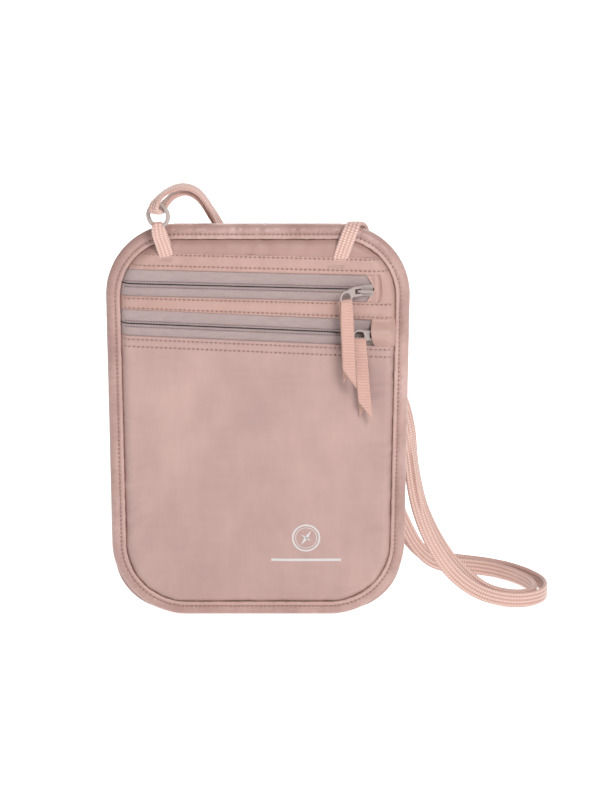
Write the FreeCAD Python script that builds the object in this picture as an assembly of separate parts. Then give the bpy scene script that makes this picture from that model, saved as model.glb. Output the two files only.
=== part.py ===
import FreeCAD, Part
import math
import os

# Neck pouch wallet. Millimetres. Origin at the middle of the lower edge, on the surface that the
# pouch stands on. +Z up, the zipped front faces -Y, +X to the right of someone facing the front.

V = FreeCAD.Vector
X_AXIS, Y_AXIS, Z_AXIS = V(1, 0, 0), V(0, 1, 0), V(0, 0, 1)

# Pouch outline
WIDTH, HEIGHT = 140.0, 185.0
FOOT_WIDTH = 135.0                 # the sides draw in a little towards the bottom
TOP_RADIUS, FOOT_RADIUS = 34.0, 29.0

# Binding and fabric shells
BINDING = 6.5                      # how far the binding reaches in from the edge
BINDING_HALF = 2.0                 # half its thickness
FABRIC = 0.6
SEAM_IN = 2.0                      # inset of the raw fabric edges inside the binding
WALL_IN, FLAT_IN = 6.8, 9.0        # inset where a pocket's side wall starts and ends
POCKET = 5.8                       # depth of each outer face from the middle plane
RIM = 0.9                          # outer level of the rims held in the binding

# Divider between the main pocket and the front pocket: up the middle, then forward to the middle band
DIVIDER_BEND, DIVIDER_TOP = 138.5, 146.4
DIVIDER_SLOPE = 3.4                # how far forward of the middle plane the slope ends
DIVIDER_TILT = 2.25                # its top follows the band's slope down to the right, degrees

# Front features: height on the centre line, and slope down to the right in degrees
UPPER_TILT, LOWER_TILT = 1.5, 2.5
UPPER_BAND_TOP, UPPER_BAND_FOOT = 170.2, 162.7
UPPER_ZIP_Z = 156.4
MIDDLE_BAND_TOP, MIDDLE_BAND_FOOT = 150.2, 142.1
LOWER_ZIP_Z = 136.7
HEM_TOP = 130.9

# Zips
TAPE = 0.5
TAPE_HALF = 8.6                    # from the zip's line to a tape's hidden edge
SLOT = 0.8                         # gap between the two tapes
COIL_ROW, COIL_THICK, COIL_HALF_LENGTH = 1.8, 1.2, 57.5
UPPER_SLIDER_X, LOWER_SLIDER_X = 48.9, 56.3
SLIDER_HALF = 3.6
PLATE_FRONT = POCKET + 0.55        # front level of the slider's front plate
PIVOT_IN, PIVOT_OUT = 1.6, POCKET + 1.25   # the puller's cross bar: left of centre, and its level
CROWN_OUT = POCKET + 2.9
UPPER_YAW, LOWER_YAW = 30.0, 6.0   # how far each puller stands off the pouch, degrees
RING_OUT = 8.4                     # puller ring's centre from its cross bar
UPPER_DROP, LOWER_DROP = 2.2, 0.2  # and how far below it the ring hangs
RING_R, RING_HOLE = 3.2, 2.3
BAR_LOW, BAR_HIGH = 2.7, 1.7       # the straight bar at the bottom of the puller's ring
RIBBON_WIDTH, RIBBON_THICK = 5.8, 0.6
RIBBON_GAP = 0.85                  # half the space between the ribbon's legs
UPPER_RIBBON, LOWER_RIBBON = 39.0, 37.0
RIBBON_CUT = 9.0                   # how much longer one edge of a leg is than the other

# Folded tabs over the right ends of the zips
TAB_HALF, TAB_END = 5.0, 61.3
TAB_NOTCH = 3.4                    # half the height of the notch that the slider stands in
TAB_BACK = 0.1                     # how far the tabs lie behind the outer face

# Strap hardware
STRAP_RING = V(-45.2, -7.5, 190.4)
STRAP_RING_R, STRAP_WIRE_R, STRAP_RING_YAW = 5.0, 1.0, -25.0
TAB_WIDTH, TAB_THICK = 6.4, 0.8
SLIDE_LENGTH, SLIDE_WIDTH, SLIDE_WALL = 10.0, 10.4, 0.9
CHANNEL_WIDTH, CHANNEL_HIGH = 7.8, 3.8

# Mark printed low on the front: a round badge over a bar
PRINT_THICK = 0.1
BADGE_X, BADGE_Z, BADGE_R = 22.0, 38.0, 6.5
BAR_LEFT, BAR_RIGHT, BAR_Z, BAR_HEIGHT = 6.0, 38.0, 27.5, 1.8

# Neck cord: a flat braid 7 mm wide, held here as a thin round tube along its middle line
CORD_R = 1.6
SLIDE_AT = V(42.0, 17.0, 86.0)     # middle of the strap slide
SLIDE_DIR = V(-9.0, -5.0, 16.0)    # along the two strands that it holds, upwards
STRAND_GAP = 4.6                   # between the two strands in the slide

# The route runs from the sewn end, over the top edge, down through the slide, round the loop on the
# table, up behind the pouch, through the ring, and back beside itself to the slide.
ROUTE = [
    V(37.6, -7.9, 170.3), V(39.9, -7.9, 177.0), V(42.8, -6.4, 185.2), V(45.6, 0.6, 188.4),
    V(48.4, 8.8, 183.6), V(49.4, 12.0, 172.0), V(46.5, 11.8, 148.0), V(40.5, 11.6, 124.0),
    V(60.0, 33.0, 53.0), V(67.0, 48.0, 31.0),
    V(74.0, 62.0, 15.0), V(82.5, 71.5, 5.0), V(95.0, 76.0, 2.6), V(110.0, 70.5, 2.3),
    V(122.5, 54.5, 2.3), V(129.0, 35.0, 2.3), V(128.0, 18.0, 2.3), V(119.5, 12.3, 2.3),
    V(107.0, 12.8, 5.2), V(96.5, 13.2, 13.0), V(86.5, 13.6, 25.0), V(77.0, 14.4, 43.0),
    V(72.8, 15.6, 64.0), V(70.6, 17.8, 86.0), V(64.0, 20.0, 104.0), V(50.0, 20.6, 118.5),
    V(28.0, 20.6, 133.5), V(8.0, 20.0, 149.0), V(-9.0, 18.6, 166.5), V(-19.0, 15.6, 184.0),
    V(-25.0, 9.6, 196.8), V(-31.8, 3.6, 202.4), V(-38.6, -1.0, 200.8), V(-42.6, -3.9, 196.0),
    V(-44.0, -4.9, 192.3), V(-46.5, -10.2, 192.3), V(-48.0, -11.2, 196.4), V(-44.6, -9.6, 203.2),
    V(-36.0, -4.0, 207.6), V(-26.8, 2.6, 203.4), V(-20.0, 8.8, 192.0), V(-14.2, 13.4, 177.0),
    V(-4.5, 15.8, 160.0), V(12.0, 16.4, 141.5), V(34.0, 17.2, 124.5), V(54.0, 16.4, 111.0),
    V(65.6, 14.6, 95.0), V(68.2, 13.2, 74.0), V(70.0, 12.2, 53.0), V(75.0, 11.0, 34.0),
    V(84.5, 10.0, 17.6), V(97.0, 9.0, 7.0), V(111.0, 8.2, 2.3), V(124.0, 8.8, 2.3),
    V(132.6, 18.0, 2.3), V(133.8, 37.0, 2.3), V(127.0, 57.0, 2.3), V(113.0, 75.0, 2.3),
    V(95.5, 81.4, 2.6), V(79.5, 76.0, 5.6), V(69.8, 65.0, 18.0), V(62.0, 50.5, 35.0),
    V(57.0, 38.0, 51.5),
]

IN_SLIDE = 8                       # how many of its points come before the slide


def outline(inset):
    """The pouch's outline, drawn in by inset, as a wire in the plane y = 0."""
    half_top, half_foot = WIDTH / 2 - inset, FOOT_WIDTH / 2 - inset
    corners = [
        (V(-half_foot, 0, inset), FOOT_RADIUS), (V(half_foot, 0, inset), FOOT_RADIUS),
        (V(half_top, 0, HEIGHT - inset), TOP_RADIUS), (V(-half_top, 0, HEIGHT - inset), TOP_RADIUS),
    ]
    return rounded_wire([c for c, _ in corners], [r - inset for _, r in corners])


def rounded_wire(corners, radii):
    """A closed wire of straight sides joined by tangent arcs at the corners."""
    count = len(corners)
    arcs = []
    for i, corner in enumerate(corners):
        before = (corners[i - 1] - corner).normalize()
        after = (corners[(i + 1) % count] - corner).normalize()
        half = before.getAngle(after) / 2
        reach = radii[i] / math.tan(half)
        middle = corner + (before + after).normalize() * (radii[i] / math.sin(half) - radii[i])
        arcs.append((corner + before * reach, middle, corner + after * reach))
    edges = []
    for i, (start, middle, end) in enumerate(arcs):
        edges.append(Part.Arc(start, middle, end).toShape())
        edges.append(Part.LineSegment(end, arcs[(i + 1) % count][0]).toShape())
    return Part.Wire(edges)


def slab(inset, y_low, y_high):
    """The outline, drawn in by inset, as a solid between two levels."""
    face = Part.Face(outline(inset))
    face.translate(V(0, y_low, 0))
    return face.extrude(V(0, y_high - y_low, 0))


def mound(wall_in, y_rim, flat_in, y_face):
    """A solid with sloping sides, from the rim level to the face level."""
    low, high = outline(wall_in), outline(flat_in)
    low.translate(V(0, y_rim, 0))
    high.translate(V(0, y_face, 0))
    return Part.makeLoft([low, high], True, True)


def front_shell():
    """The whole front as one tray of fabric, before it is cut into panels and bands."""
    inner_rim = RIM - FABRIC
    outer = slab(SEAM_IN, -RIM, -inner_rim).fuse(mound(WALL_IN, -RIM, FLAT_IN, -POCKET))
    inner = mound(WALL_IN + FABRIC, -inner_rim, FLAT_IN + FABRIC, -POCKET + FABRIC)
    outer = outer.fuse(mound(WALL_IN, -inner_rim, WALL_IN, -RIM))
    return outer.cut(inner).removeSplitter()


def tape_shell():
    """The layer just behind the front shell, where the zip tapes lie."""
    inner_rim = RIM - FABRIC
    outer = mound(WALL_IN + FABRIC, -inner_rim, FLAT_IN + FABRIC, -POCKET + FABRIC)
    inner = mound(
        WALL_IN + FABRIC + TAPE, -inner_rim, FLAT_IN + FABRIC + TAPE, -POCKET + FABRIC + TAPE
    )
    return outer.cut(inner)


def zone(z_low, tilt_low, z_high, tilt_high, x_low=-80.0, x_high=80.0, y_low=-9.0, y_high=0.0):
    """A block between two sloping lines, used to cut strips out of a shell."""
    def line(x, z, tilt):
        return V(x, y_low, z - x * math.tan(math.radians(tilt)))

    points = [
        line(x_low, z_low, tilt_low), line(x_high, z_low, tilt_low),
        line(x_high, z_high, tilt_high), line(x_low, z_high, tilt_high),
    ]
    return Part.Face(Part.makePolygon(points + points[:1])).extrude(V(0, y_high - y_low, 0))


def tilted(shape, z, tilt):
    """A shape made round a level zip line, turned to the zip's slope and lifted to its height."""
    shape = shape.copy()
    shape.rotate(V(), Y_AXIS, tilt)
    shape.translate(V(0, 0, z))
    return shape


def box(x0, x1, y0, y1, z0, z1):
    return Part.makeBox(x1 - x0, y1 - y0, z1 - z0, V(x0, y0, z0))


def prism_y(points, y_low, y_high):
    """A flat outline of (x, z) points, made solid between two levels."""
    corners = [V(x, y_low, z) for x, z in points]
    return Part.Face(Part.makePolygon(corners + corners[:1])).extrude(V(0, y_high - y_low, 0))


def prism_z(points, z_low, z_high):
    """A flat outline of (x, y) points, made solid between two heights."""
    corners = [V(x, y, z_low) for x, y in points]
    return Part.Face(Part.makePolygon(corners + corners[:1])).extrude(V(0, 0, z_high - z_low))


def edge_binding():
    ring = slab(0, -BINDING_HALF, BINDING_HALF)
    long_edges = [e for e in ring.Edges if abs(abs(e.CenterOfMass.y) - BINDING_HALF) < 1e-6]
    ring = ring.makeFillet(1.1, long_edges)
    ring = ring.cut(slab(BINDING, -BINDING_HALF, BINDING_HALF))
    return ring.cut(slab(SEAM_IN, -RIM, RIM))


def back_panel():
    return front_shell().mirror(V(), Y_AXIS)


def pocket_divider():
    """A sheet up the middle whose top turns forward to the middle band."""
    half, inside = FABRIC / 2, -POCKET + FABRIC
    profile = [
        (-half, 0), (-half, DIVIDER_BEND), (-DIVIDER_SLOPE, DIVIDER_TOP - FABRIC), (inside, DIVIDER_TOP - FABRIC),
        (inside, DIVIDER_TOP), (-DIVIDER_SLOPE + half, DIVIDER_TOP), (half, DIVIDER_BEND), (half, 0),
    ]
    corners = [V(-80, y, z) for y, z in profile]
    sheet = Part.Face(Part.makePolygon(corners + corners[:1])).extrude(V(160, 0, 0))
    sheet.rotate(V(0, 0, DIVIDER_TOP), Y_AXIS, DIVIDER_TILT)
    held = slab(SEAM_IN, -FABRIC / 2, FABRIC / 2)
    room = mound(WALL_IN + FABRIC, -RIM + FABRIC, FLAT_IN + FABRIC, -POCKET + FABRIC)
    sheet = sheet.common(held.fuse(room))
    return sheet.cut(zip_tape(LOWER_ZIP_Z, LOWER_TILT, 1)).removeSplitter()


def zip_tape(z, tilt, side):
    """One tape of a zip: side 1 is above the line, -1 below."""
    near, far = side * SLOT / 2, side * TAPE_HALF
    strip = zone(z + min(near, far), tilt, z + max(near, far), tilt, y_high=-RIM)
    return tape_shell().common(strip)


def zip_coil(z, tilt):
    back = -POCKET + FABRIC + TAPE
    rows = []
    for side in (1, -1):
        low, high = sorted((side * SLOT / 2, side * (SLOT / 2 + COIL_ROW)))
        row = box(-COIL_HALF_LENGTH, COIL_HALF_LENGTH, back, back + COIL_THICK, low, high)
        rows.append(tilted(row, z, tilt))
    return Part.makeCompound(rows)


def end_tab(z, tilt, x_edge, x_notch):
    """The folded fabric over the zip's right end: two flaps round the slider, joined beyond x_notch."""
    out, inside = -POCKET + TAB_BACK, -POCKET + FABRIC
    points = [
        (x_edge, TAB_NOTCH), (x_notch, TAB_NOTCH), (x_notch, -TAB_NOTCH), (x_edge, -TAB_NOTCH),
        (x_edge, -TAB_HALF), (TAB_END, -TAB_HALF), (TAB_END, TAB_HALF), (x_edge, TAB_HALF),
    ]
    return tilted(prism_y(points, out, inside), z, tilt)


def slider():
    """Slider on a level zip line at the origin: two plates, the neck between them, and the crown."""
    shield = [
        (-SLIDER_HALF, -2.0), (-1.0, -2.6), (SLIDER_HALF - 0.8, -2.9), (SLIDER_HALF, -2.2),
        (SLIDER_HALF, 2.2), (SLIDER_HALF - 0.8, 2.9), (-1.0, 2.6), (-SLIDER_HALF, 2.0),
    ]
    front = prism_y(shield, -PLATE_FRONT, -POCKET + 0.05)
    back = prism_y(shield, -3.3, -2.7)
    neck = box(-1.0, 2.4, -POCKET, -3.2, -0.3, 0.3)
    leg, top = 0.6, 0.7
    crown = prism_z(
        [
            (-SLIDER_HALF, -PLATE_FRONT + 0.2), (-SLIDER_HALF, -CROWN_OUT + 0.6),
            (-SLIDER_HALF + 0.6, -CROWN_OUT), (SLIDER_HALF - 0.6, -CROWN_OUT),
            (SLIDER_HALF, -CROWN_OUT + 0.6), (SLIDER_HALF, -PLATE_FRONT + 0.2),
            (SLIDER_HALF - leg, -PLATE_FRONT + 0.2), (SLIDER_HALF - leg, -CROWN_OUT + top + 0.3),
            (SLIDER_HALF - leg - 0.3, -CROWN_OUT + top), (-SLIDER_HALF + leg + 0.3, -CROWN_OUT + top),
            (-SLIDER_HALF + leg, -CROWN_OUT + top + 0.3), (-SLIDER_HALF + leg, -PLATE_FRONT + 0.2),
        ],
        -0.6, 0.6,
    )
    return front.fuse([back, neck, crown]).removeSplitter()


def puller(drop):
    """Keyhole plate with its cross bar at the origin, pointing along -X, flat in the plane y = 0."""
    half = 0.5
    eye = box(-4.6, 0, -half, half, -2.3, 2.3)
    bar = Part.makeCylinder(half, 4.6, V(0, 0, -2.3), Z_AXIS)
    neck = prism_y([(-4.6, 2.3), (-4.6, -2.3), (-RING_OUT + 0.6, -drop - RING_R + 0.2),
                    (-RING_OUT - 0.6, -drop + RING_R - 0.2)], -half, half)
    centre = V(-RING_OUT, -half, -drop)
    ring = Part.makeCylinder(RING_R, 2 * half, centre, Y_AXIS)
    foot = -drop - BAR_LOW
    plate = eye.fuse([bar, neck, ring])
    plate = plate.cut(box(-20, 0, -1, 1, foot - 5, foot))
    hole = Part.makeCylinder(RING_HOLE, 4, centre - V(0, 1, 0), Y_AXIS)
    hole = hole.cut(box(-20, 0, -3, 3, -drop - 5, -drop - BAR_HIGH))
    slot = box(-3.7, -0.6, -1, 1, -1.2, 1.2)
    return plate.cut(hole).cut(slot).removeSplitter()


def pull_ribbon(length):
    """Ribbon folded over the bar of the puller's ring; the bar's middle is at the origin."""
    near, far = RIBBON_GAP, RIBBON_GAP + RIBBON_THICK
    neck_half, half = 1.35, RIBBON_WIDTH / 2
    top = RIBBON_GAP + RIBBON_THICK
    neck = box(-neck_half, neck_half, -far, far, -1.4, top)
    neck = neck.cut(box(-neck_half, neck_half, -near, near, -2, RIBBON_GAP))
    front = prism_y([(-half, -1.2), (half, -1.2), (half, -length), (-half, -length + RIBBON_CUT)], -far, -near)
    back = prism_y([(-half, -1.2), (half, -1.2), (half, -length + RIBBON_CUT), (-half, -length)], near, far)
    return neck.fuse([front, back]).removeSplitter()


def placed_on_zip(shape, x, z, tilt):
    """Move a shape made at the zip line's origin along the line, then to the zip's place."""
    shape = shape.copy()
    shape.translate(V(x, 0, 0))
    return tilted(shape, z, tilt)


def pivot_point(x, z, tilt):
    point = Part.Vertex(V(x - PIVOT_IN, -PIVOT_OUT, 0))
    return tilted(point, z, tilt).Point


def puller_set(x, z, tilt, yaw, drop, length):
    """The puller and its ribbon at rest, and the middle of the ribbon's bar."""
    pivot = pivot_point(x, z, tilt)
    plate = puller(drop)
    plate.rotate(V(), Z_AXIS, yaw)
    plate.translate(pivot)
    bar = V(-RING_OUT, 0, -drop - (BAR_LOW + BAR_HIGH) / 2)
    turn = FreeCAD.Rotation(Z_AXIS, yaw)
    bar = pivot + turn.multVec(bar)
    ribbon = pull_ribbon(length)
    ribbon.rotate(V(), Z_AXIS, yaw)
    ribbon.translate(bar)
    return plate, ribbon, pivot, bar


def strap_ring():
    axis = FreeCAD.Rotation(Z_AXIS, STRAP_RING_YAW).multVec(V(0, -1, 0))
    return Part.makeTorus(STRAP_RING_R, STRAP_WIRE_R, STRAP_RING, axis)


def prism_x(points, x_low, x_high):
    """A flat outline of (y, z) points, made solid between two values of x."""
    corners = [V(x_low, y, z) for y, z in points]
    return Part.Face(Part.makePolygon(corners + corners[:1])).extrude(V(x_high - x_low, 0, 0))


def ring_tab():
    """A flat braid gathered round the foot of the ring, its two legs lying on the yoke."""
    inner = STRAP_WIRE_R + 0.9
    outer = inner + TAB_THICK
    wire = STRAP_RING - V(0, 0, STRAP_RING_R)
    half, neck_half, neck_foot = TAB_WIDTH / 2, 1.5, 2.3
    fold = Part.makeCylinder(outer, 2 * neck_half, wire - V(neck_half, 0, 0), X_AXIS)
    x0, x1 = wire.x - neck_half, wire.x + neck_half
    fold = fold.fuse(box(x0, x1, wire.y - outer, wire.y + outer, wire.z - neck_foot, wire.z))
    fold = fold.cut(Part.makeCylinder(inner, 8, wire - V(4, 0, 0), X_AXIS))
    fold = fold.cut(box(x0, x1, wire.y - inner, wire.y + inner, wire.z - 9, wire.z))
    fold = fold.cut(box(x0, x1, wire.y - 9, wire.y + 9, wire.z - 9, wire.z - neck_foot))
    top, bend, foot = wire.z - 1.3, 177.5, UPPER_BAND_TOP + 1.6
    legs = []
    for y_top, lift in ((wire.y + inner, 0.1), (wire.y - outer, TAB_THICK + 0.2)):
        y_low = -POCKET - lift - TAB_THICK
        near = [(y_top, top), (y_low, bend), (y_low, foot)]
        far = [(y + TAB_THICK, z) for y, z in reversed(near)]
        legs.append(prism_x(near + far, wire.x - half, wire.x + half))
    return fold.fuse(legs).removeSplitter()


def bar_tack(x, z):
    """A short row of dense stitches on the upper band."""
    return box(x - 3.5, x + 3.5, -POCKET - 0.3, -POCKET, z - 1.0, z + 1.0)


def print_mark():
    """A thin printed film on the front: a round badge over a bar."""
    badge = Part.makeCylinder(BADGE_R, PRINT_THICK, V(BADGE_X, -POCKET - PRINT_THICK, BADGE_Z), Y_AXIS)
    bar_foot = BAR_Z - BAR_HEIGHT / 2
    bar = box(BAR_LEFT, BAR_RIGHT, -POCKET - PRINT_THICK, -POCKET, bar_foot, bar_foot + BAR_HEIGHT)
    return Part.makeCompound([badge, bar])


def rounded_path(points):
    """Straight runs joined by tangent arcs, each as large as its two runs allow."""
    edges = []
    at = points[0]
    for before, corner, after in zip(points, points[1:], points[2:]):
        to_before, to_after = (before - corner), (after - corner)
        shorter = min(to_before.Length, to_after.Length)
        to_before.normalize()
        to_after.normalize()
        half_turn = (math.pi - to_before.getAngle(to_after)) / 2
        reach = 0.45 * shorter
        radius = reach / math.tan(half_turn)
        start, end = corner + to_before * reach, corner + to_after * reach
        toward = (to_before + to_after).normalize()
        middle = corner + toward * (radius / math.cos(half_turn) - radius)
        edges.append(Part.LineSegment(at, start).toShape())
        edges.append(Part.Arc(start, middle, end).toShape())
        at = end
    edges.append(Part.LineSegment(at, points[-1]).toShape())
    return Part.Wire(edges)


def slide_frame():
    """The strap slide's centre, its axis, and the direction from one strand to the other."""
    along = V(SLIDE_DIR).normalize()
    across = along.cross(V(-0.9, 1.6, 0)).normalize().cross(along).normalize()
    return SLIDE_AT, along, across


def cord_tip():
    """The folded, stitched end of the cord, just above the strap slide."""
    _, along, across = slide_frame()
    tip = oriented_block(5.0, 7.0, 3.4)
    return place_in_slide(tip, along * (SLIDE_LENGTH / 2 + 10.5) + across * (STRAND_GAP / 2))


def oriented_block(length, width, thick):
    return Part.makeBox(width, thick, length, V(-width / 2, -thick / 2, -length / 2))


def place_in_slide(shape, offset):
    """Turn a shape whose length is along Z and thickness along Y into the slide's own directions."""
    centre, along, across = slide_frame()
    side = across.cross(along)
    shape = shape.copy()
    shape.Placement = FreeCAD.Placement(centre + offset, FreeCAD.Rotation(side, across, along, "ZYX"))
    return shape


def strap_slide():
    """A block with two flat channels, one for each strand of the cord."""
    body = oriented_block(SLIDE_LENGTH, SLIDE_WIDTH, STRAND_GAP + CHANNEL_HIGH + 2 * SLIDE_WALL)
    body = body.makeFillet(0.8, body.Edges)
    for side in (1, -1):
        channel = oriented_block(SLIDE_LENGTH + 2, CHANNEL_WIDTH, CHANNEL_HIGH)
        channel.translate(V(0, side * STRAND_GAP / 2, 0))
        body = body.cut(channel)
    return place_in_slide(body, V())


def neck_cord():
    """The tube along the cord's route, which passes through the slide twice."""
    centre, along, across = slide_frame()
    reach = SLIDE_LENGTH / 2 + 8.0
    down = [centre + along * reach - across * STRAND_GAP / 2, centre - along * reach - across * STRAND_GAP / 2]
    back = [centre - along * reach + across * STRAND_GAP / 2, centre + along * reach + across * STRAND_GAP / 2]
    points = ROUTE[:IN_SLIDE] + down + ROUTE[IN_SLIDE:] + back
    path = rounded_path(points)
    start = points[0]
    ring = Part.Wire(Part.makeCircle(CORD_R, start, points[1] - start))
    tube = path.makePipeShell([ring], True, False)
    print("cord length", round(path.Length, 1))
    return tube


def build():
    shell = front_shell()
    nodes = {
        "edge_binding": edge_binding(),
        "back_panel": back_panel(),
        "pocket_divider": pocket_divider(),
        "yoke_panel": shell.common(zone(UPPER_BAND_TOP, UPPER_TILT, HEIGHT + 20, 0)),
        "upper_band": shell.common(zone(UPPER_BAND_FOOT, UPPER_TILT, UPPER_BAND_TOP, UPPER_TILT)),
        "middle_band": shell.common(zone(MIDDLE_BAND_FOOT, LOWER_TILT, MIDDLE_BAND_TOP, UPPER_TILT)),
        "front_panel": shell.common(zone(-20, 0, HEM_TOP, LOWER_TILT)),
        "strap_ring": strap_ring(),
        "ring_tab": ring_tab(),
        "ring_tab_bartack": bar_tack(-42.4, UPPER_BAND_TOP - 1.6),
        "cord_bartack": bar_tack(36.0, UPPER_BAND_TOP - 4.6),
        "print_mark": print_mark(),
        "strap_slide": strap_slide(),
        "cord_tip": cord_tip(),
        "neck_cord": neck_cord(),
    }
    zips = (
        ("upper", UPPER_ZIP_Z, UPPER_TILT, UPPER_SLIDER_X, UPPER_YAW, UPPER_DROP, UPPER_RIBBON, (49.6, 53.6)),
        ("lower", LOWER_ZIP_Z, LOWER_TILT, LOWER_SLIDER_X, LOWER_YAW, LOWER_DROP, LOWER_RIBBON, (52.2, 60.5)),
    )
    for name, z, tilt, x, yaw, drop, length, notch in zips:
        nodes[name + "_zip_tape_top"] = zip_tape(z, tilt, 1)
        nodes[name + "_zip_tape_bottom"] = zip_tape(z, tilt, -1)
        nodes[name + "_zip_coil"] = zip_coil(z, tilt)
        nodes[name + "_zip_end_tab"] = end_tab(z, tilt, *notch)
        nodes[name + "_slider"] = placed_on_zip(slider(), x, z, tilt)
        plate, ribbon, pivot, bar = puller_set(x, z, tilt, yaw, drop, length)
        nodes[name + "_puller"] = plate
        nodes[name + "_pull_ribbon"] = ribbon
        print(name, "pivot", [round(c, 3) for c in pivot], "bar", [round(c, 3) for c in bar])
    return nodes


os.makedirs("parts", exist_ok=True)
for node, shape in build().items():
    print(f"{node:26s} solids {len(shape.Solids)} valid {shape.isValid()} volume {shape.Volume:9.2f}")
    shape.exportStep(f"parts/{node}.step")
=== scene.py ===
"""Neck pouch wallet: the looks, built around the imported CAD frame. +Z up, front towards -Y. Sizes are in
millimetres, and the scene is in metres."""

import math

import bpy
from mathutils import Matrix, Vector, noise


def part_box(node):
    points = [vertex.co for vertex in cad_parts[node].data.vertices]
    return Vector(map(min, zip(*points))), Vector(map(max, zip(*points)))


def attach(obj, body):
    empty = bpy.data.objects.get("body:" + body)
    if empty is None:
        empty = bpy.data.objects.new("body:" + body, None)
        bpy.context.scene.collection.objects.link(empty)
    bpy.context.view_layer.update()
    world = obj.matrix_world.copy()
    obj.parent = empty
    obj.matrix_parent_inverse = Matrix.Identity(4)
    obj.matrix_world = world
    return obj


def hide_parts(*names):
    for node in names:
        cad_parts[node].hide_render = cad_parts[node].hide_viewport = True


MM = 0.001
LENGTH_UV = "length"  # the UV layer that holds a strip's length and width, in metres

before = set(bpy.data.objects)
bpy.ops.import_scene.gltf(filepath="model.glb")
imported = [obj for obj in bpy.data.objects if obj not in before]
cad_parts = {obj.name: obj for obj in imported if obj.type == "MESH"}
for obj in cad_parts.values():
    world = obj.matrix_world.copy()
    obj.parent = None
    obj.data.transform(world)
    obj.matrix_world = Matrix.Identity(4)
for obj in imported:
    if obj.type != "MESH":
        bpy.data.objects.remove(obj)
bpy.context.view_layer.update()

# ==== driving sizes, in millimetres and degrees
LOW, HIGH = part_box("edge_binding")
HEIGHT = (HIGH.z - LOW.z) / MM
HALF_TOP, HALF_FOOT = 70.0, 66.6  # half the width, with the straight sides carried to the ends
TOP_RADIUS, FOOT_RADIUS = 34.0, 34.0
WIDEST = 80.0  # past the sides at any height
BINDING = 6.5
STITCH_IN = 4.4  # the binding's stitch line, in from the edge
UNDER = 5.0  # how far in the panels' hidden edges lie
FACE = 5.8  # level of the front and back faces
RIM_FACE = 1.3  # level of the faces where they go into the binding
RIM_IN, RIM_RISE = 6.0, 5.2  # where a face starts to rise from the rim, and over what distance
UPPER_TILT, LOWER_TILT = 1.5, 2.5
UPPER_BAND = (171.5, 163.3)  # top and foot of a band at the middle of the pouch
MIDDLE_BAND = (150.9, 143.3)
UPPER_ROWS = (0.9, 6.1)  # the stitched rows of a band, down from its top
MIDDLE_ROWS = (1.1, 6.4)
MIDDLE_FOOT_ROW_TILT = 2.3
UPPER_ZIP, LOWER_ZIP = 156.4, 136.7
ZIP_OPEN = 0.22  # half the dark line between two tapes
TAPE_TUCK = 1.5  # how far a tape goes in under the cloth beside it
UPPER_TAPE_END, LOWER_TAPE_END = 53.9, 58.0
UPPER_ROW_END, LOWER_ROW_END = 49.0, 52.0  # the dotted rows beside the zips
TAB_END = 66.0  # the end tabs' hidden right ends
HEM_TOP, HEM_ROWS = 131.3, (129.5, 126.1)
RIBBON_SWEEP = 38.0  # the ribbons pass in front of this much of the panel
SEAM_REACH = 61.5  # half the length of the long seams
PITCH = 2.1  # stitch pitch
CORD_WIDTH, CORD_THICK = 7.0, 1.9
TACK_LEVEL = FACE + 0.45
YOKE, FRONT, BACK = 1.0, 2.0, 3.0  # the panels' places in the noise

# Each zip: its line and tilt, the edges of the cloth above and below it, and the ends of its tapes and rows.
ZIPS = {
    "upper": (UPPER_ZIP, UPPER_TILT, UPPER_BAND[1], MIDDLE_BAND[0], UPPER_TAPE_END, UPPER_ROW_END),
    "lower": (LOWER_ZIP, LOWER_TILT, MIDDLE_BAND[1], HEM_TOP, LOWER_TAPE_END, LOWER_ROW_END),
}

# Each pull ribbon: the middle of the puller's bar, the bar's yaw, the lengths of the front and the rear leg
# at their left and right edges, and the lean to the right.
RIBBONS = {
    "upper": ((40.009, -11.25, 150.762), 30, (31.0, 40.0), (38.5, 30.0), 0.050),
    "lower": ((46.294, -7.928, 131.914), 6, (28.0, 36.5), (36.0, 28.0), 0.085),
}
RIBBON_HALF, RIBBON_BEND = 2.95, 1.05  # half the ribbon's width, and the radius of its fold
ACROSS_COUNT, BEND_COUNT, LEG_COUNT = 9, 9, 46

RING_X, RING_TAB_X = -45.2, -41.2  # the strap ring, and the foot of its tab

# The printed mark: a round badge with two needles over a bar.
BADGE_X, BADGE_Z = 22.0, 38.0
BADGE_RINGS = ((5.7, 6.5), (4.7, 5.0))  # inner and outer radius
NEEDLES = ((35, 0.85, 4.3), (125, 0.55, 2.8))  # turn, half width, reach
BAR_START, BAR_LENGTH, BAR_EDGES = 6, 32, (26.9, 28.1)
PRINT_LIFT = 0.06

# CAD nodes that are shown as they are, with their materials.
PLAIN_PIECES = {
    "strap_ring": "grey_plastic", "pocket_divider": "silk_cloth",
    "upper_zip_coil": "zip_coil", "lower_zip_coil": "zip_coil",
}

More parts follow.
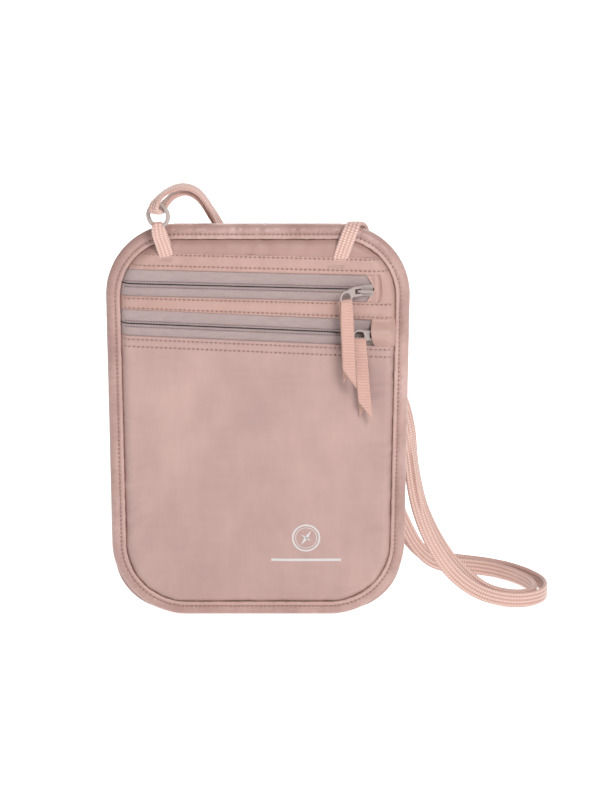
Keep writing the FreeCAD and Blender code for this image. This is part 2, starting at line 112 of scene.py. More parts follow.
# ==== the neck cord's route, in millimetres
# The sewn end, over the top edge, down to the slide, round the loop on the table, up behind the
# pouch, through the ring, and back beside itself to the slide.
ROUTE = [
    (37, -4.6, 168.2), (38, -6.8, 172.2), (42.6, -6.4, 184.6), (44.4, 0, 185.8), (47.4, 6.4, 181.2),
    (48.8, 10, 170), (46.5, 11.2, 148), (40.5, 11.4, 124), (37, 11.6, 96.9), (49.3, 18.4, 75.1),
    (60, 33, 53), (67, 48, 31), (74, 56.5, 15), (83, 63, 5.5), (95.5, 65.5, 3.8), (110.5, 60.5, 3.6),
    (122.5, 46, 3.6), (128.5, 31, 3.6), (128, 18.5, 3.6), (119.5, 12, 4), (107, 12, 6.2), (96.5, 12.4, 13),
    (86.2, 12.8, 25), (76.8, 13.8, 43), (72.4, 15, 64), (70.2, 17.4, 86), (64, 19.8, 104),
    (50, 20.4, 118.5), (28, 20.4, 133.5), (8, 19.6, 149), (-10, 17.6, 166.5), (-20.2, 14.6, 183),
    (-26.2, 8.6, 195), (-32.4, 3, 199.6), (-38.4, -1.2, 198.4), (-42.4, -3.8, 195), (-44, -4.9, 192.3),
    (-46.5, -10.2, 192.3), (-47.4, -11.2, 195.6), (-43.8, -9.2, 200.6), (-35.4, -3.4, 203.6),
    (-27.4, 2.8, 200), (-21.4, 9, 190), (-15.8, 13.2, 177), (-4.5, 15.4, 160), (12, 16.2, 141.5),
    (34, 17, 124.5), (54, 16.2, 111), (65.6, 14.6, 95), (69, 13, 74), (71.8, 12, 53), (78, 10.8, 34),
    (88, 9.8, 18), (99.5, 9, 8.2), (112, 8.4, 4.2), (124, 8.8, 3.6), (132.6, 18, 3.6), (133.8, 33, 3.6),
    (127.5, 48.5, 3.6), (114, 64.5, 3.6), (96, 70.8, 4.2), (80.5, 67.5, 6.6), (70.5, 59, 17.5),
    (62, 50.5, 35), (57, 38, 51.5), (47, 22.4, 75.1), (34.7, 15.6, 96.9),
]

# The braid's width direction at some of the route's points, by the point's place in the list.
WIDTH_AT = {
    0: (1, 0, 0), 4: (1, 0, 0), 7: (1, 0.1, 0), 9: (0.8, 0.3, 0.35), 13: (0.35, 0.35, 0.8), 16: (0, 0, 1),
    20: (0, 0, 1), 22: (0.35, 0.6, 0.6), 24: (0.3, 0.9, 0.2), 25: (0.5, 0.8, 0.3), 27: (0.75, 0.0, 0.65),
    29: (0.75, 0.3, 0.6), 30: (0.35, 0.9, 0.3), 31: (0.15, 1, 0.1), 34: (0, 1, 0.1), 35: (-0.4, 0.9, 0),
    36: (-0.9, 0.42, 0), 37: (-0.9, 0.42, 0), 38: (-0.6, 0.8, 0), 39: (-0.1, 1, 0), 42: (0.1, 1, 0.1),
    43: (0.35, 0.9, 0.3), 44: (0.75, 0.3, 0.6), 47: (0.75, 0.2, 0.6), 49: (0.75, 0.7, 0),
    51: (0.85, 0.4, 0.2), 53: (0.6, 0.1, 0.65), 55: (0, 0, 1), 61: (0, 0, 1), 63: (0.45, 0.3, 0.75),
    65: (0.8, 0.3, 0.35), 66: (0.9, 0.2, 0.35),
}
# Where the ring and the slide bunch the braid: place on the route and reach, counted in its points.
BUNCHES = ((36.5, 1.3), (8.5, 0.9), (66.5, 0.9))


# ==== small tools
def add_object(name, data):
    """A new object in the scene."""
    thing = bpy.data.objects.new(name, data)
    bpy.context.scene.collection.objects.link(thing)
    return thing


def add_mesh(name, points, faces):
    """A new smooth object from points in millimetres."""
    mesh = bpy.data.meshes.new(name)
    mesh.from_pydata([Vector(p) * MM for p in points], [], faces)
    mesh.validate()
    mesh.shade_smooth()
    return add_object(name, mesh)


def apply_modifiers(piece):
    """Replace the piece's mesh by what its modifiers make of it."""
    graph = bpy.context.evaluated_depsgraph_get()
    mesh = bpy.data.meshes.new_from_object(piece.evaluated_get(graph))
    piece.modifiers.clear()
    piece.data = mesh
    mesh.shade_smooth()
    return piece


def thicken(piece, thickness, offset=-1.0):
    """Give a sheet a thickness, inward from its face or, with offset 0, half to each side."""
    solid = piece.modifiers.new("thickness", "SOLIDIFY")
    solid.thickness = thickness * MM
    solid.offset = offset
    return apply_modifiers(piece)


def grid_faces(rows, columns, closed=False):
    """Faces of a grid of points that are listed row by row."""
    faces = []
    wrap = columns if closed else columns - 1
    for r in range(rows - 1):
        for c in range(wrap):
            n = (c + 1) % columns
            faces.append((r * columns + c, r * columns + n, (r + 1) * columns + n, (r + 1) * columns + c))
    return faces


def add_length_uvs(piece, uvs):
    """Lay out the piece by (length, width), given for each of its points."""
    layer = piece.data.uv_layers.new(name=LENGTH_UV)
    for loop in piece.data.loops:
        layer.data[loop.index].uv = uvs[loop.vertex_index]


def finish_piece(piece, body, slot, material, *nodes):
    """Give a piece its material and its body, and hide the CAD nodes that it stands for. The slot is not
    used.
    """
    piece.data.materials.clear()
    piece.data.materials.append(material)
    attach(piece, body)
    if nodes:
        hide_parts(*nodes)
    return piece


def noise_at(a, b, c):
    """Smooth noise from -1 to 1, with features about one unit across."""
    return noise.noise(Vector((a, b, c)))


def wave(x, z, size, seed):
    """Smooth noise over features of about that size in millimetres."""
    return noise_at(x / size, z / size, seed)


def smoothstep(low, high, value):
    """A smooth rise from 0 at low to 1 at high."""
    t = min(max((value - low) / (high - low), 0.0), 1.0)
    return t * t * (3 - 2 * t)


# ==== the pouch's outline and faces
def half_width(z):
    """Half the pouch's width at the straight sides, at a height."""
    return HALF_FOOT + (HALF_TOP - HALF_FOOT) * z / HEIGHT


def row_half_width(z, inset):
    """Half the width of the outline, drawn in by inset, at a height."""
    half = half_width(z) - inset
    for radius, centre, sign in ((TOP_RADIUS, HEIGHT - TOP_RADIUS, 1), (FOOT_RADIUS, FOOT_RADIUS, -1)):
        past = (z - centre) * sign
        r = radius - inset
        if past > 0:
            half = half - r + math.sqrt(max(r * r - past * past, 0.0))
    return half


def edge_distance(x, z):
    """Distance in from the outline."""
    radius = TOP_RADIUS if z > HEIGHT / 2 else FOOT_RADIUS
    past_x = abs(x) - (half_width(z) - radius)
    past_z = abs(z - HEIGHT / 2) - (HEIGHT / 2 - radius)
    outside = math.hypot(max(past_x, 0.0), max(past_z, 0.0))
    return radius - outside - min(max(past_x, past_z), 0.0)


def face_level(x, z):
    """How far a face stands from the middle plane, before wrinkles."""
    t = min(max((edge_distance(x, z) - RIM_IN) / RIM_RISE, 0.0), 1.0)
    return RIM_FACE + (FACE - RIM_FACE) * (1 - (1 - t) ** 2.4)


def slope_z(z, tilt, x):
    """Height at x of a line that passes the pouch's middle at z and falls to the right by tilt degrees."""
    return z - x * math.tan(math.radians(tilt))


def edge_pucker(x, z, seed):
    """Short wrinkles that run in from the binding and fade over a centimetre."""
    inward = edge_distance(x, z)
    along = math.atan2(z - HEIGHT / 2, x) * 90
    ripple = noise_at(along / 4.2, inward / 14, seed)
    return 0.62 * ripple * math.exp(-max(inward - BINDING, 0.0) / 6.0)


def cloth_wrinkle(x, z, seed):
    """Soft creases of a thin silk panel with little in the pocket, calmer to the right."""
    long_crease = wave(x + 0.35 * z, z * 0.35, 26, seed) * 1.35 * (1 - 0.6 * smoothstep(20, 45, x))
    cross_crease = wave(x * 0.45, z - 0.25 * x, 17, seed + 3) * 0.45
    fine = wave(x, z, 6.5, seed + 7) * 0.07
    calm = smoothstep(5, 16, edge_distance(x, z))
    return (long_crease + cross_crease) * calm + fine


def seam_dip(distance, x):
    """The dip of a stitched line, deeper at each stitch."""
    return -0.34 * math.exp(-(distance / 0.8) ** 2) * (0.8 + 0.2 * math.cos(2 * math.pi * x / PITCH))


def strip(name, lines, level, columns, rows, side=-1, left=None, right=WIDEST):
    """A sheet of cloth on one side of the middle plane, between a top and a foot line, each (height, tilt),
    inside the outline. level gives how far a point stands out, from x and z. left gives the x of the left
    edge from the share of the way up, and right is the x of the right edge."""
    (top_z, top_tilt), (foot_z, foot_tilt) = lines
    points = []
    for r in range(rows):
        v = r / (rows - 1)
        z_line = foot_z + (top_z - foot_z) * v
        tilt = foot_tilt + (top_tilt - foot_tilt) * v
        for c in range(columns):
            u = 2 * c / (columns - 1) - 1
            z = z_line
            # The width depends on the height, and the height on x: three rounds settle it.
            for _ in range(3):
                reach = row_half_width(min(max(z, UNDER), HEIGHT - UNDER), UNDER)
                low = max(-reach, left(v)) if left else -reach
                x = low + (min(reach, right) - low) * (u + 1) / 2
                z = min(max(slope_z(z_line, tilt, x), UNDER), HEIGHT - UNDER)
            points.append((x, side * level(x, z), z))
    faces = grid_faces(rows, columns)
    if side > 0:
        faces = [tuple(reversed(face)) for face in faces]
    return add_mesh(name, points, faces)


def add_cloth(name, lines, level, counts, thick, slot, material, node, **edges):
    """A thick strip of cloth on the pouch, in place of a CAD node."""
    piece = thicken(strip(name, lines, level, *counts, **edges), thick)
    return finish_piece(piece, "pouch", slot, material, node)


# ==== materials
def link(tree, start, end):
    tree.links.new(start, end)


def set_inputs(node, **values):
    """Set a node's inputs by name, with _ for a space."""
    for name, value in values.items():
        node.inputs[name.replace("_", " ")].default_value = value


def node_material(name, color, rough=0.6, sheen=0.0, specular=0.5):
    """A material with one plain shader. Returns it with its tree and its shader."""
    material = bpy.data.materials.new(name)
    material.use_nodes = True
    shader = material.node_tree.nodes["Principled BSDF"]
    set_inputs(shader, Base_Color=(*color, 1), Roughness=rough, Sheen_Weight=sheen, Sheen_Roughness=0.4,
               Specular_IOR_Level=specular)
    return material, material.node_tree, shader


def math_node(tree, operation, *values):
    """The output of a math node, fed with numbers or outputs."""
    node = tree.nodes.new("ShaderNodeMath")
    node.operation = operation
    for index, value in enumerate(values):
        if isinstance(value, (int, float)):
            node.inputs[index].default_value = value
        else:
            link(tree, value, node.inputs[index])
    return node.outputs[0]


def ramp(tree, value, low, high, top=1.0):
    """A value taken from between low and high to between 0 and top."""
    node = tree.nodes.new("ShaderNodeMapRange")
    set_inputs(node, From_Min=low, From_Max=high, To_Max=top)
    link(tree, value, node.inputs["Value"])
    return node.outputs["Result"]


def mix_color(tree, share, first, second):
    """From the first to the second colour, each a triple or an output."""
    node = tree.nodes.new("ShaderNodeMix")
    node.data_type = "RGBA"
    link(tree, share, node.inputs["Factor"])
    for index, color in ((6, first), (7, second)):
        if isinstance(color, tuple):
            node.inputs[index].default_value = (*color, 1)
        else:
            link(tree, color, node.inputs[index])
    return node.outputs[2]


def object_coords(tree, scale=(1, 1, 1), rotation=(0, 0, 0)):
    coords = tree.nodes.new("ShaderNodeTexCoord")
    mapping = tree.nodes.new("ShaderNodeMapping")
    set_inputs(mapping, Scale=scale, Rotation=rotation)
    link(tree, coords.outputs["Object"], mapping.inputs["Vector"])
    return mapping.outputs["Vector"]


def noise_height(tree, scale, stretch=(1, 1, 1), detail=3.0):
    texture = tree.nodes.new("ShaderNodeTexNoise")
    set_inputs(texture, Scale=scale, Detail=detail)
    link(tree, object_coords(tree, stretch), texture.inputs["Vector"])
    return texture.outputs["Fac"]


def split_vector(tree, vector):
    """A vector's X, Y and Z outputs."""
    split = tree.nodes.new("ShaderNodeSeparateXYZ")
    link(tree, vector, split.inputs[0])
    return split.outputs


def split_uvs(tree):
    """The outputs for the length (X) and the width (Y) along a strip."""
    coords = tree.nodes.new("ShaderNodeUVMap")
    coords.uv_map = LENGTH_UV
    return split_vector(tree, coords.outputs["UV"])


def cycles(tree, distance, pitch):
    """A distance as an angle that goes once round in each pitch of millimetres."""
    return math_node(tree, "MULTIPLY", distance, 2 * math.pi / (pitch * MM))


def weave_height(tree, pitch_x, pitch_z):
    """Height of a plain weave: one set of threads each way."""
    place = split_vector(tree, object_coords(tree))
    upright = math_node(tree, "SINE", cycles(tree, place["X"], pitch_x))
    level = math_node(tree, "SINE", cycles(tree, place["Z"], pitch_z))
    return math_node(tree, "MULTIPLY", upright, level)


def mottle(tree, shader, color, drifts):
    """Base colour that drifts between tones. Each drift has a noise scale, its stretch, the most that it
    mixes in, and its colour."""
    for scale, stretch, amount, tone in drifts:
        share = ramp(tree, noise_height(tree, scale, stretch, 4.0), 0.35, 0.65, amount)
        color = mix_color(tree, share, color, tone)
    link(tree, color, shader.inputs["Base Color"])


def add_bump(tree, shader, heights, distance_mm):
    """Bump from several (height output, strength) pairs, one after another."""
    normal = None
    for height, strength in heights:
        bump = tree.nodes.new("ShaderNodeBump")
        set_inputs(bump, Strength=strength, Distance=distance_mm * MM)
        link(tree, height, bump.inputs["Height"])
        if normal is not None:
            link(tree, normal, bump.inputs["Normal"])
        normal = bump.outputs["Normal"]
    link(tree, normal, shader.inputs["Normal"])


def silk(name, light, mid, dark, rough, slub, light_patches=(24, 0.55), dark_patches=(85, 0.4)):
    """Fine silk: drifting tone, faint level slubs, a plain weave and a soft sheen. The patches have the
    scale and the share of the lighter and the darker drift; these patches are partly tone drift and partly
    painted highlight and painted shade of soft folds and creases."""
    material, tree, shader = node_material(name, mid, rough=rough, sheen=0.35, specular=0.35)
    set_inputs(shader, Sheen_Tint=(*light, 1))
    drifts = [
        (light_patches[0], (1, 1, 0.6), light_patches[1], light),
        (dark_patches[0], (1, 1, 0.6), dark_patches[1], dark),
        (420, (0.12, 1, 1), slub, light),
        (500, (1, 1, 0.1), slub * 0.7, dark),
    ]
    mottle(tree, shader, mid, drifts)
    heights = [
        (noise_height(tree, 380, (0.10, 1, 1)), 0.22),
        (noise_height(tree, 900), 0.18),
        (weave_height(tree, 0.34, 0.34), 0.16),
    ]
    add_bump(tree, shader, heights, 0.08)
    return material


def satin_material():
    """The binding's satin: glossy with patchy tone, its light and dark patches partly painted highlights on
    its folds and painted shade between them, and a painted highlight on the inner lip beyond the stitches.
    """
    light, mid, dark = (0.49, 0.33, 0.30), (0.365, 0.228, 0.20), (0.255, 0.14, 0.125)
    # Large light and dark patches: painted highlights on the satin's folds and painted shade between them,
    # over its own patchy tone.
    material = silk("satin_binding", light, mid, dark, 0.33, 0.08, (42, 0.85), (95, 0.5))
    tree = material.node_tree
    color = tree.nodes["Principled BSDF"].inputs["Base Color"]
    cloth_color = color.links[0].from_socket
    # Painted highlight: the raised inner lip is painted paler, as if it caught the light.
    lip = ramp(tree, split_uvs(tree)["Y"], (STITCH_IN + 0.3) * MM, (STITCH_IN + 0.9) * MM, 0.42)
    link(tree, mix_color(tree, lip, cloth_color, (0.54, 0.365, 0.325)), color)
    return material


def tape_material():
    """Zip tape: fine lengthwise cords of a twill, mauve grey."""
    color = (0.385, 0.295, 0.285)
    material, tree, shader = node_material("zip_tape", color, rough=0.78, sheen=0.25)
    drifts = [(60, (1, 1, 1), 0.5, (0.43, 0.335, 0.325)), (900, (0.25, 1, 1), 0.5, (0.33, 0.25, 0.24))]
    mottle(tree, shader, color, drifts)
    cords = tree.nodes.new("ShaderNodeTexWave")
    cords.bands_direction = "Z"
    set_inputs(cords, Scale=1.0, Distortion=0.6, Detail_Scale=2.0)
    slope = (0, math.radians(-2.0), 0)
    link(tree, object_coords(tree, (900, 900, 2600), slope), cords.inputs["Vector"])
    add_bump(tree, shader, [(cords.outputs["Fac"], 0.5), (weave_height(tree, 0.45, 0.5), 0.3)], 0.12)
    return material


def braid_material():
    """Flat knitted braid: small loops in rows, set off from rib to rib, coloured lighter on the raised loops
    as a painted highlight and darker between loops and ribs as painted shade.
    """
    material, tree, shader = node_material("flat_braid", (0.72, 0.47, 0.39), rough=0.72, sheen=0.45)
    place = split_uvs(tree)
    along = cycles(tree, place["X"], 1.2)
    across = cycles(tree, place["Y"], 1.75)
    lean = math_node(tree, "MULTIPLY", math_node(tree, "SINE", across), 0.9)
    loops = math_node(tree, "SINE", math_node(tree, "ADD", along, lean))
    raised = math_node(tree, "MULTIPLY_ADD", loops, 0.5, 0.5)
    ribs = math_node(tree, "MULTIPLY_ADD", math_node(tree, "COSINE", across), -0.5, 0.5)
    knit = math_node(tree, "MULTIPLY_ADD", raised, ribs, math_node(tree, "MULTIPLY", ribs, 0.14))
    # Colour follows the knit height: painted highlight on the raised loops, painted shade between the loops
    # and the ribs.
    color = mix_color(tree, ramp(tree, knit, 0.05, 0.85), (0.43, 0.255, 0.215), (0.70, 0.50, 0.435))
    patches = ramp(tree, noise_height(tree, 60), 0.4, 0.7, 0.35)
    link(tree, mix_color(tree, patches, color, (0.60, 0.385, 0.335)), shader.inputs["Base Color"])
    add_bump(tree, shader, [(knit, 0.55), (noise_height(tree, 2500), 0.15)], 0.16)
    return material


def grosgrain_material():
    """Ribbed ribbon: rounded ribs across its length, with painted shade in the hollows and a painted
    highlight on the crests.
    """
    material, tree, shader = node_material("grosgrain", (0.72, 0.46, 0.35), rough=0.62, sheen=0.35)
    place = split_uvs(tree)
    ribs = math_node(tree, "SINE", cycles(tree, place["X"], 0.72))
    warp = math_node(tree, "SINE", cycles(tree, place["Y"], 0.3))
    # Colour follows the ribs' height: painted shade between the ribs, painted highlight on their crests.
    color = mix_color(tree, ramp(tree, ribs, -1.0, 1.0), (0.43, 0.24, 0.195), (0.61, 0.38, 0.32))
    link(tree, color, shader.inputs["Base Color"])
    add_bump(tree, shader, [(ribs, 0.6), (warp, 0.15), (noise_height(tree, 1800), 0.1)], 0.14)
    return material


def enamel_material(name, color, rough, speck):
    """Painted or moulded surface: slight unevenness of tone and gloss."""
    material, tree, shader = node_material(name, color, rough=rough)
    darker = tuple(c * 0.86 for c in color)
    lighter = tuple(min(c * 1.08, 1) for c in color)
    mottle(tree, shader, color, [(120, (1, 1, 1), 0.5, lighter), (700, (1, 1, 1), 0.4, darker)])
    add_bump(tree, shader, [(noise_height(tree, speck), 0.25)], 0.03)
    return material


def thread_material(name, color):
    """Sewing thread, a little lighter in places."""
    material, tree, shader = node_material(name, color, rough=0.55, sheen=0.3)
    mottle(tree, shader, color, [(700, (1, 1, 1), 0.5, tuple(c * 1.12 for c in color))])
    add_bump(tree, shader, [(noise_height(tree, 3500), 0.4)], 0.05)
    return material


def print_material():
    """A thin pale print, slightly broken where the cloth's threads show through."""
    color = (0.54, 0.52, 0.515)
    material, tree, shader = node_material("print_film", color)
    mottle(tree, shader, color, [(900, (1, 1, 1), 0.35, (0.48, 0.44, 0.43))])
    add_bump(tree, shader, [(noise_height(tree, 900), 0.2), (weave_height(tree, 0.34, 0.34), 0.2)], 0.05)
    return material


def floor_material():
    """Pale paper, a little brighter than the light on it, so that it stays near white to its far edge."""
    material, _, shader = node_material("floor", (0.88, 0.88, 0.88), rough=0.9, specular=0.1)
    set_inputs(shader, Emission_Color=(1, 1, 1, 1), Emission_Strength=0.60)
    return material


def make_materials():
    """All the materials, by a plain name."""
    silk_tones = (0.475, 0.32, 0.285), (0.385, 0.253, 0.23), (0.315, 0.20, 0.19)
    # The yoke is the same silk in darker tones: painted shade of its recess above the upper band.
    shaded_yoke_tones = (0.395, 0.245, 0.215), (0.35, 0.212, 0.187), (0.295, 0.172, 0.15)
    band_tones = (0.47, 0.30, 0.262), (0.405, 0.255, 0.22), (0.34, 0.205, 0.175)
    mats = {
        "satin_binding": satin_material(),
        "silk_cloth": silk("silk_cloth", *silk_tones, 0.40, 0.10),
        "yoke_cloth": silk("silk_yoke_painted_shade", *shaded_yoke_tones, 0.45, 0.2),
        "band_cloth": silk("band_cloth", *band_tones, 0.42, 0.2),
        "zip_tape": tape_material(),
        "zip_coil": enamel_material("zip_coil", (0.17, 0.12, 0.12), 0.5, 900),
        "enamelled_metal": enamel_material("enamelled_metal", (0.33, 0.265, 0.25), 0.30, 500),
        "grosgrain": grosgrain_material(),
        "grey_plastic": enamel_material("grey_plastic", (0.38, 0.315, 0.295), 0.42, 700),
        "flat_braid": braid_material(),
        "print_film": print_material(),
    }
    # The band and binding threads are dark partly in their own colour and partly as painted shade of the
    # stitch holes.
    threads = {
        "thread": (0.25, 0.135, 0.11), "tack_thread": (0.45, 0.285, 0.245),
        "binding_thread": (0.27, 0.15, 0.125), "tape_thread": (0.13, 0.08, 0.08),
    }
    for name, color in threads.items():
        mats[name] = thread_material(name, color)
    return mats


# ==== camera, light, floor
def make_camera():
    """Level with the pouch's middle, 15 degrees up, square on to the front."""
    data = bpy.data.cameras.new("camera")
    data.lens = 344.0
    data.sensor_fit = "VERTICAL"
    data.sensor_height = 36.0
    camera = add_object("camera", data)
    target = Vector((0.0192, 0.0, 0.1018))
    distance = 3.5
    rise = math.radians(15)
    camera.location = target + Vector((0, -math.cos(rise), math.sin(rise))) * distance
    camera.rotation_euler = (math.radians(90) - rise, 0, 0)
    bpy.context.scene.camera = camera


def area_light(name, place, target, size, power):
    """A white rectangular light that faces the target."""
    data = bpy.data.lights.new(name, "AREA")
    data.shape = "RECTANGLE"
    data.size, data.size_y = size
    data.energy = power
    lamp = add_object(name, data)
    lamp.location = place
    lamp.rotation_euler = (Vector(target) - Vector(place)).to_track_quat("-Z", "Y").to_euler()


def make_stage():
    """Pale floor, soft light from the upper right, a weak fill from the left and a light behind."""
    half = 6000
    corners = [(-half, -half, 0), (half, -half, 0), (half, half, 0), (-half, half, 0)]
    floor = add_mesh("floor", corners, [(0, 1, 2, 3)])
    floor.data.materials.append(floor_material())
    area_light("key", (0.62, -1.25, 1.15), (0, 0, 0.09), (0.55, 0.55), 23.0)
    area_light("fill", (-1.2, -0.9, 0.45), (0, 0, 0.1), (1.0, 1.0), 2.6)
    area_light("back", (0.2, 1.2, 1.1), (0, 0, 0.1), (1.0, 0.8), 12.0)
    world = bpy.data.worlds.new("studio")
    world.use_nodes = True
    set_inputs(world.node_tree.nodes["Background"], Color=(1, 1, 1, 1), Strength=0.36)
    bpy.context.scene.world = world
    bpy.context.scene.view_settings.view_transform = "Standard"


# ==== the neck cord
def spline_points(route, resolution):
    """Points in metres along a smooth NURBS line that has the route's points as its controls."""
    data = bpy.data.curves.new("line", "CURVE")
    data.dimensions = "3D"
    data.resolution_u = resolution
    spline = data.splines.new("NURBS")
    spline.points.add(len(route) - 1)
    for point, place in zip(spline.points, route):
        point.co = (*(c * MM for c in place), 1)
    spline.order_u = 3
    spline.use_endpoint_u = True
    holder = bpy.data.objects.new("line", data)
    mesh = bpy.data.meshes.new_from_object(holder)
    points = []
    for vertex in mesh.vertices:
        if not points or (vertex.co - points[-1]).length > 0.05 * MM:
            points.append(vertex.co.copy())
    bpy.data.objects.remove(holder)
    return points


def width_direction(share):
    """The width direction at a share of the route, between the nearest stated ones."""
    place = share * (len(ROUTE) - 1)
    before = max(k for k in WIDTH_AT if k <= place)
    after = min(k for k in WIDTH_AT if k >= place)
    if after == before:
        return Vector(WIDTH_AT[before])
    t = smoothstep(before, after, place)
    return Vector(WIDTH_AT[before]).lerp(Vector(WIDTH_AT[after]), t)


def braid_section(width, thick):
    """Cross-section of the flat braid: four soft lengthwise ribs on each face, as (across, out) points."""
    count = 24
    half = []
    for i in range(count + 1):
        u = 2 * i / count - 1
        edge = math.sqrt(max(1 - abs(u) ** 5, 0.0))
        rib = 0.88 + 0.12 * abs(math.sin(2 * math.pi * u))
        half.append((u * width / 2, thick / 2 * edge * rib))
    return half + [(across, -out) for across, out in reversed(half[1:-1])]


def sweep_band(name, points, sides, sections):
    """A closed tube round points in metres. sides gives the width direction and sections the (across, out)
    outline at each of them. Returns it with its length."""
    rings, uvs = [], []
    length = 0.0
    last = len(points) - 1
    for i, point in enumerate(points):
        before, after = points[max(i - 1, 0)], points[min(i + 1, last)]
        if i:
            length += (point - before).length
        tangent = (after - before).normalized()
        side = (sides[i] - tangent * sides[i].dot(tangent)).normalized()
        out = side.cross(tangent)
        for across, depth in sections[i]:
            rings.append((point + (side * across + out * depth) * MM) / MM)
            uvs.append((length, across * MM))
    count = len(sections[0])
    faces = grid_faces(len(points), count, closed=True)
    faces.append(tuple(reversed(range(count))))
    faces.append(tuple(range(last * count, (last + 1) * count)))
    piece = add_mesh(name, rings, faces)
    add_length_uvs(piece, uvs)
    return piece, length


def make_cord(braid):
    """The flat braid, a little uneven, bunched where it passes the slide and the ring. Returns it with the
    points of its middle line and its length."""
    points = spline_points(ROUTE, 14)
    sides, sections = [], []
    for i in range(len(points)):
        share = i / (len(points) - 1)
        place = share * (len(ROUTE) - 1)
        bunch = max(math.exp(-((place - at) / reach) ** 2) for at, reach in BUNCHES)
        wobble = noise_at(share * 90, 0.3, 1.7)
        width = CORD_WIDTH * (1 - 0.22 * bunch) * (1 + 0.03 * wobble)
        thick = CORD_THICK * (1 + 0.25 * bunch) * (1 - 0.04 * wobble)
        sides.append(width_direction(share))
        sections.append(braid_section(width, thick))
    cord, length = sweep_band("neck_cord_braid", points, sides, sections)
    finish_piece(cord, "pouch", "flat_braid", braid, "neck_cord")
    return cord, points, length


# ==== stitches
def stitch_ends(line, pitch, length):
    """Start and end of each stitch along a list of points."""
    stitches, since = [], 0.0
    start = None
    for a, b in zip(line, line[1:]):
        run = (b - a).length
        at = 0.0
        while at < run:
            limit = length if start is not None else pitch - length
            step = min(limit - since, run - at)
            at += step
            since += step
            if since >= limit - 1e-6:
                here = a + (b - a) * (at / run)
                if start is None:
                    start = here
                else:
                    stitches.append((start, here))
                    start = None
                since = 0.0
    return stitches


def add_stitch(start, end, normal, radius, points, faces):
    """Add a short flattened thread, its middle lifted a little along normal."""
    along = (end - start).normalized()
    side = along.cross(normal).normalized()
    # Along the thread: share of the way, share of the radius, and lift in radii.
    ends, shoulders = (0.35, -0.35), (0.85, 0.1)
    stations = ((0.0, *ends), (0.12, *shoulders), (0.5, 1.0, 0.35), (0.88, *shoulders), (1.0, *ends))
    first = len(points)
    around = 6
    for share, grow, lift in stations:
        centre = start.lerp(end, share) + normal * (radius * lift)
        for k in range(around):
            turn = 2 * math.pi * k / around
            points.append(centre + (side * math.cos(turn) + normal * math.sin(turn) * 0.8) * radius * grow)
    tube = grid_faces(len(stations), around, closed=True)
    tube.append(tuple(reversed(range(around))))
    tube.append(tuple(range((len(stations) - 1) * around, len(stations) * around)))
    faces += [tuple(first + i for i in face) for face in tube]


def seam(name, line, thread, side=-1, pitch=PITCH, length=1.35, radius=0.31):
    """A row of stitches along a line of points on the front (side -1) or the back (side 1)."""
    points, faces = [], []
    for start, end in stitch_ends(line, pitch, length):
        add_stitch(start, end, Vector((0, side, 0)), radius, points, faces)
    finish_piece(add_mesh(name, points, faces), "pouch", "thread", thread)


def level_line(z0, tilt, level, left, right, lift=0.1):
    """Points a millimetre apart along a sloping line across the front, on its surface."""
    line = []
    count = int(right - left)
    for i in range(count + 1):
        x = left + (right - left) * i / count
        z = slope_z(z0, tilt, x)
        line.append(Vector((x, -(level(x, z) + lift), z)))
    return line


def make_tack(name, x, z, width, thread, node):
    """A short close zigzag of thread across a strap's end."""
    points, faces = [], []
    count = int(width / 0.42)
    for k in range(count):
        at = x - width / 2 + k * width / count
        start = Vector((at, -TACK_LEVEL, z - 0.75))
        end = Vector((at + 0.3, -TACK_LEVEL, z + 0.75))
        add_stitch(start, end, Vector((0, -1, 0)), 0.2, points, faces)
    finish_piece(add_mesh(name, points, faces), "pouch", "thread", thread, node)


# ==== cloth pieces
def yoke_level(x, z):
    """Level of the panel above the upper zip, gathered where the band is sewn over it."""
    near_band = math.exp(-max(z - slope_z(UPPER_BAND[0], UPPER_TILT, x), 0) / 2.2)
    gather = 0.30 * noise_at(x / 3.1, 0.4, YOKE) * near_band
    lump = 0.35 * noise_at(x / 9.0, z / 14.0, 4.1)
    return face_level(x, z) + edge_pucker(x, z, YOKE) + lump - 0.25 * near_band + gather


def front_level(x, z):
    """Level of the front panel: a rolled and double-stitched hem, then creases that stay low behind the
    ribbons."""
    under = slope_z(HEM_TOP, LOWER_TILT, x) - z
    pull = 0.22 * noise_at(x / 2.9, under / 9.0, FRONT) * math.exp(-max(under - 5.4, 0) / 4.5)
    rows = sum(seam_dip(under - (HEM_TOP - row), x) for row in HEM_ROWS)
    fold = 0.28 * (1 - smoothstep(5.4, 6.4, under))
    roll = -0.55 * (1 - smoothstep(0.0, 0.7, under))
    inside = smoothstep(2.0, 9.0, edge_distance(x, z))
    crease = cloth_wrinkle(x, z, FRONT) * smoothstep(4.5, 14.0, under)
    body = min(crease, 0.45 + 1.2 * smoothstep(RIBBON_SWEEP, RIBBON_SWEEP + 14.0, under))
    return face_level(x, z) + body + edge_pucker(x, z, FRONT) + (pull + rows + fold + roll) * inside


def back_level(x, z):
    return face_level(x, z) + cloth_wrinkle(x, z, BACK) * 1.2 + edge_pucker(x, z, BACK)


